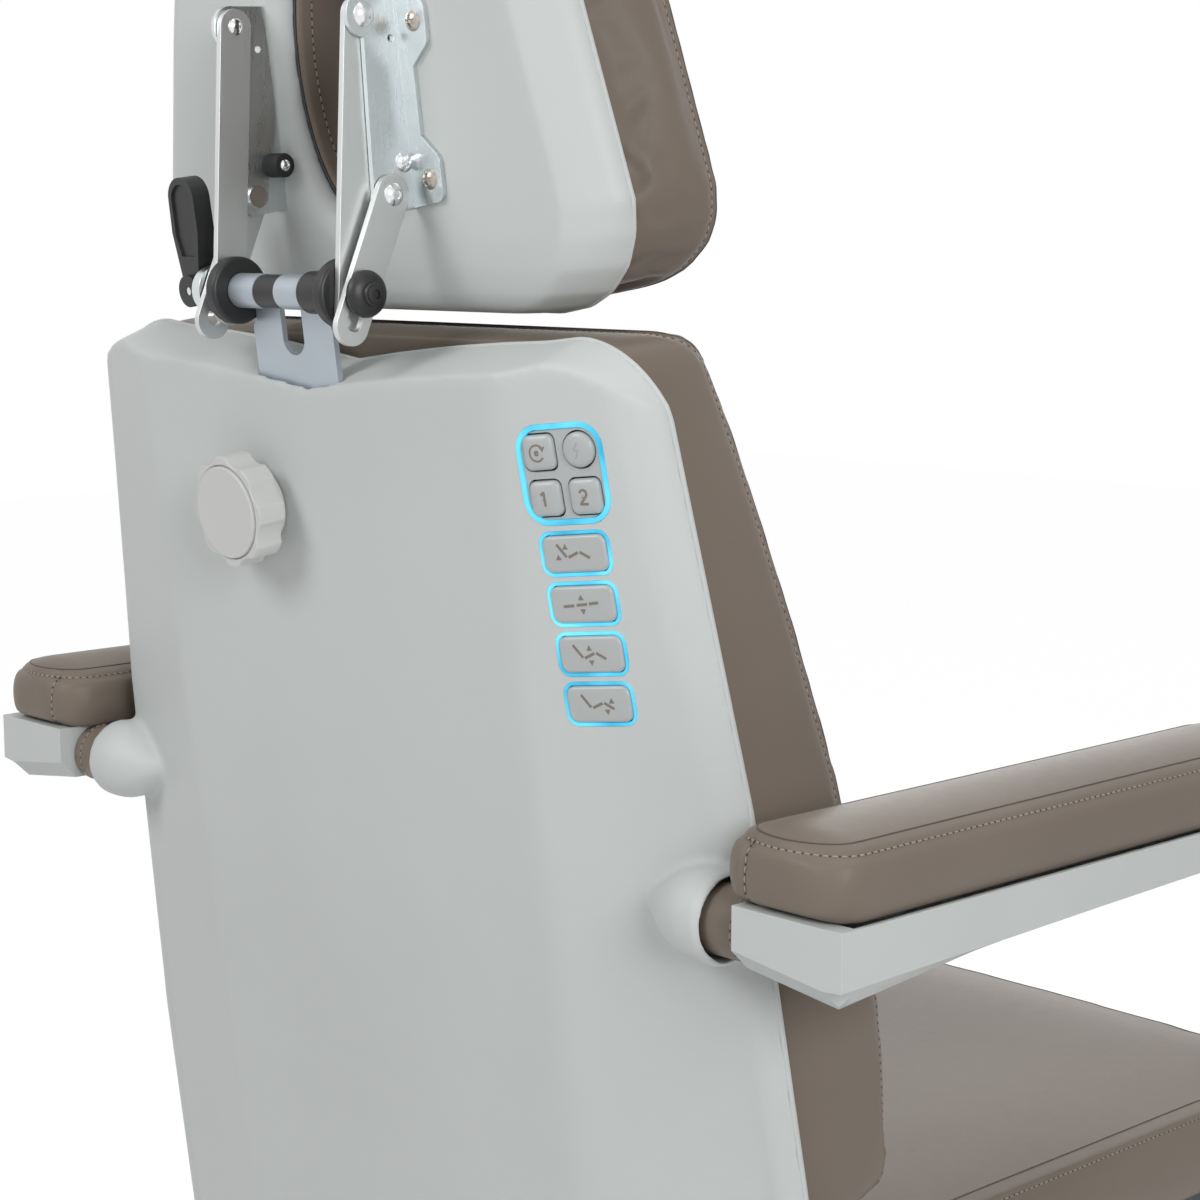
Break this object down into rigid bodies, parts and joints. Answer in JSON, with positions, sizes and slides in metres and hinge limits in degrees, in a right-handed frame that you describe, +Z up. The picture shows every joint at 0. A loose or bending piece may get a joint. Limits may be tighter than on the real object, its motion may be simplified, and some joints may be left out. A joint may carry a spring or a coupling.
{
  "type": "electric procedure chair",
  "caption": "Upholstered electric procedure chair on a lifting column with tilting seat, reclining back, leg rest, swing-up armrests and an articulated headrest with a face opening.",
  "frame": {"origin": "bottom centre of the bounding box, on the floor under the column", "axes": "+X to the sitter's left, the chair faces -Y, +Z up"},
  "size_m": [0.7826, 0.8012, 1.4513],
  "materials": {
    "shell_plastic": "matte fine grain",
    "vinyl": "smooth vinyl over foam",
    "frame_paint": "satin powder coat",
    "column_paint": "satin",
    "zinc": "bright zinc",
    "satin_metal": "satin",
    "fork_paint": "satin silver",
    "rod_chrome": "polished",
    "drive_plastic": "matte",
    "black_plastic": "satin",
    "roller_plastic": "satin",
    "rubber": "matte",
    "knob_plastic": "satin",
    "key_plastic": "semi-gloss",
    "ring_light": "lit ring"
  },
  "bodies": {
    "base": {"base_frame": "frame_paint", "levelling_feet": "rubber", "base_cover": "shell_plastic", "column_outer": "column_paint", "lift_motor": "drive_plastic", "control_box": "drive_plastic", "power_inlet": "drive_plastic"},
    "lift": {"column_inner": "column_paint", "lift_rod": "rod_chrome", "upper_shroud": "shell_plastic"},
    "seat": {"seat_frame": "frame_paint", "hinge_pins": "zinc", "seat_cushion": "vinyl", "seat_shell": "shell_plastic", "tilt_actuator": "drive_plastic", "back_actuator": "drive_plastic", "leg_actuator": "drive_plastic"},
    "tilt_rod": {"tilt_rod": "rod_chrome"},
    "back_rod": {"back_rod": "rod_chrome"},
    "leg_rod": {"leg_rod": "rod_chrome"},
    "back": {"back_shell": "shell_plastic", "back_frame": "frame_paint", "back_cushion": "vinyl", "light_rings": "ring_light", "neck_guide": "frame_paint", "arm_shafts": "zinc"},
    "leg": {"leg_frame": "frame_paint", "leg_cushion": "vinyl", "leg_shell": "shell_plastic"},
    "armrest_left": {"arm_pad_left": "vinyl", "arm_tray_left": "shell_plastic", "arm_bracket_left": "zinc", "arm_roller_left": "roller_plastic"},
    "armrest_right": {"arm_pad_right": "vinyl", "arm_tray_right": "shell_plastic", "arm_bracket_right": "zinc", "arm_roller_right": "roller_plastic"},
    "knob": {"clamp_knob": "knob_plastic", "knob_cap": "knob_plastic"},
    "neck": {"neck_fork": "fork_paint", "head_shaft": "zinc", "clamp_spacers": "black_plastic", "shaft_nut": "black_plastic"},
    "head_arm": {"head_arms": "satin_metal"},
    "headrest": {"head_brackets": "zinc", "bracket_fasteners": "rod_chrome", "stop_bumper": "rubber", "headrest_shell": "shell_plastic", "headrest_cushion": "vinyl"},
    "slot_link": {"slot_links": "satin_metal"},
    "lever": {"clamp_lever": "black_plastic"},
    "home_key": {"home_key": "key_plastic"},
    "power_key": {"power_key": "key_plastic"},
    "memory_key_one": {"memory_key_one": "key_plastic"},
    "memory_key_two": {"memory_key_two": "key_plastic"},
    "back_rocker": {"back_rocker": "key_plastic"},
    "lift_rocker": {"lift_rocker": "key_plastic"},
    "tilt_rocker": {"tilt_rocker": "key_plastic"},
    "leg_rocker": {"leg_rocker": "key_plastic"}
  },
  "joints": [
    {"name": "column_lift", "type": "slide", "parent": "base", "child": "lift", "axis": [0, 0, 1], "range_m": [0, 0.25]},
    {"name": "seat_tilt", "type": "hinge", "parent": "lift", "child": "seat", "pos_m": [0, 0, 0.462], "axis": [-1, 0, 0], "range_deg": [0, 15]},
    {"name": "tilt_rod_slide", "type": "slide", "parent": "seat", "child": "tilt_rod", "axis": [0, -1, 0], "range_m": [0, 0.0152]},
    {"name": "back_recline", "type": "hinge", "parent": "seat", "child": "back", "pos_m": [0, 0.255, 0.555], "axis": [-1, 0, 0], "range_deg": [0, 80]},
    {"name": "back_rod_slide", "type": "slide", "parent": "seat", "child": "back_rod", "axis": [0, -1, 0], "range_m": [0, 0.0482]},
    {"name": "leg_lift", "type": "hinge", "parent": "seat", "child": "leg", "pos_m": [0, -0.245, 0.555], "axis": [-1, 0, 0], "range_deg": [0, 82]},
    {"name": "leg_rod_slide", "type": "slide", "parent": "seat", "child": "leg_rod", "axis": [0, -1, 0], "range_m": [0, 0.0923]},
    {"name": "armrest_left_swing", "type": "hinge", "parent": "back", "child": "armrest_left", "pos_m": [0, 0.31875, 0.84768], "axis": [-1, 0, 0], "range_deg": [0, 90]},
    {"name": "armrest_right_swing", "type": "hinge", "parent": "back", "child": "armrest_right", "pos_m": [0, 0.31875, 0.84768], "axis": [-1, 0, 0], "range_deg": [0, 90]},
    {"name": "neck_slide", "type": "slide", "parent": "back", "child": "neck", "axis": [0, 0.1305, 0.9914], "range_m": [0, 0.045]},
    {"name": "head_arm_swing", "type": "hinge", "parent": "neck", "child": "head_arm", "pos_m": [0, 0.38215, 1.16764], "axis": [-1, 0, 0], "range_deg": [0, 30]},
    {"name": "headrest_tilt", "type": "hinge", "parent": "head_arm", "child": "headrest", "pos_m": [0, 0.3756, 1.31778], "axis": [-1, 0, 0], "range_deg": [0, 11]},
    {"name": "slot_link_swing", "type": "hinge", "parent": "headrest", "child": "slot_link", "pos_m": [0, 0.35989, 1.22151], "axis": [-1, 0, 0], "range_deg": [-23.2, 0]},
    {"name": "clamp_lever_swing", "type": "hinge", "parent": "neck", "child": "lever", "pos_m": [0.087, 0.38215, 1.16764], "axis": [0, 0.9914, -0.1305], "range_deg": [0, 90]},
    {"name": "clamp_knob_turn", "type": "hinge", "parent": "back", "child": "knob", "pos_m": [0.054, 0.36449, 1.04187], "axis": [0, 0.9914, -0.1305], "continuous": true},
    {"name": "home_key_press", "type": "slide", "parent": "back", "child": "home_key", "axis": [0.2588, -0.9577, 0.1261], "range_m": [0, 0.0012], "stiffness_N_per_m": 900},
    {"name": "power_key_press", "type": "slide", "parent": "back", "child": "power_key", "axis": [0.2588, -0.9577, 0.1261], "range_m": [0, 0.0012], "stiffness_N_per_m": 900},
    {"name": "memory_key_one_press", "type": "slide", "parent": "back", "child": "memory_key_one", "axis": [0.2588, -0.9577, 0.1261], "range_m": [0, 0.0012], "stiffness_N_per_m": 900},
    {"name": "memory_key_two_press", "type": "slide", "parent": "back", "child": "memory_key_two", "axis": [0.2588, -0.9577, 0.1261], "range_m": [0, 0.0012], "stiffness_N_per_m": 900},
    {"name": "back_rocker_rock", "type": "hinge", "parent": "back", "child": "back_rocker", "pos_m": [-0.20483, 0.34854, 1.03511], "axis": [0.0707, 0.149, 0.9863], "range_deg": [-4, 4], "stiffness_Nm_per_rad": 0.6},
    {"name": "lift_rocker_rock", "type": "hinge", "parent": "back", "child": "lift_rocker", "pos_m": [-0.20676, 0.34448, 1.00819], "axis": [0.0707, 0.149, 0.9863], "range_deg": [-4, 4], "stiffness_Nm_per_rad": 0.6},
    {"name": "tilt_rocker_rock", "type": "hinge", "parent": "back", "child": "tilt_rocker", "pos_m": [-0.20869, 0.34041, 0.98126], "axis": [0.0707, 0.149, 0.9863], "range_deg": [-4, 4], "stiffness_Nm_per_rad": 0.6},
    {"name": "leg_rocker_rock", "type": "hinge", "parent": "back", "child": "leg_rocker", "pos_m": [-0.21062, 0.33634, 0.95433], "axis": [0.0707, 0.149, 0.9863], "range_deg": [-4, 4], "stiffness_Nm_per_rad": 0.6}
  ],
  "couplings": [
    {"joint": "tilt_rod_slide", "follows": "seat_tilt", "m_per_rad": 0.0578},
    {"joint": "back_rod_slide", "follows": "back_recline", "m_per_rad": 0.0345},
    {"joint": "leg_rod_slide", "follows": "leg_lift", "m_per_rad": 0.0644},
    {"joint": "slot_link_swing", "follows": "headrest_tilt", "ratio": -2.098}
  ]
}
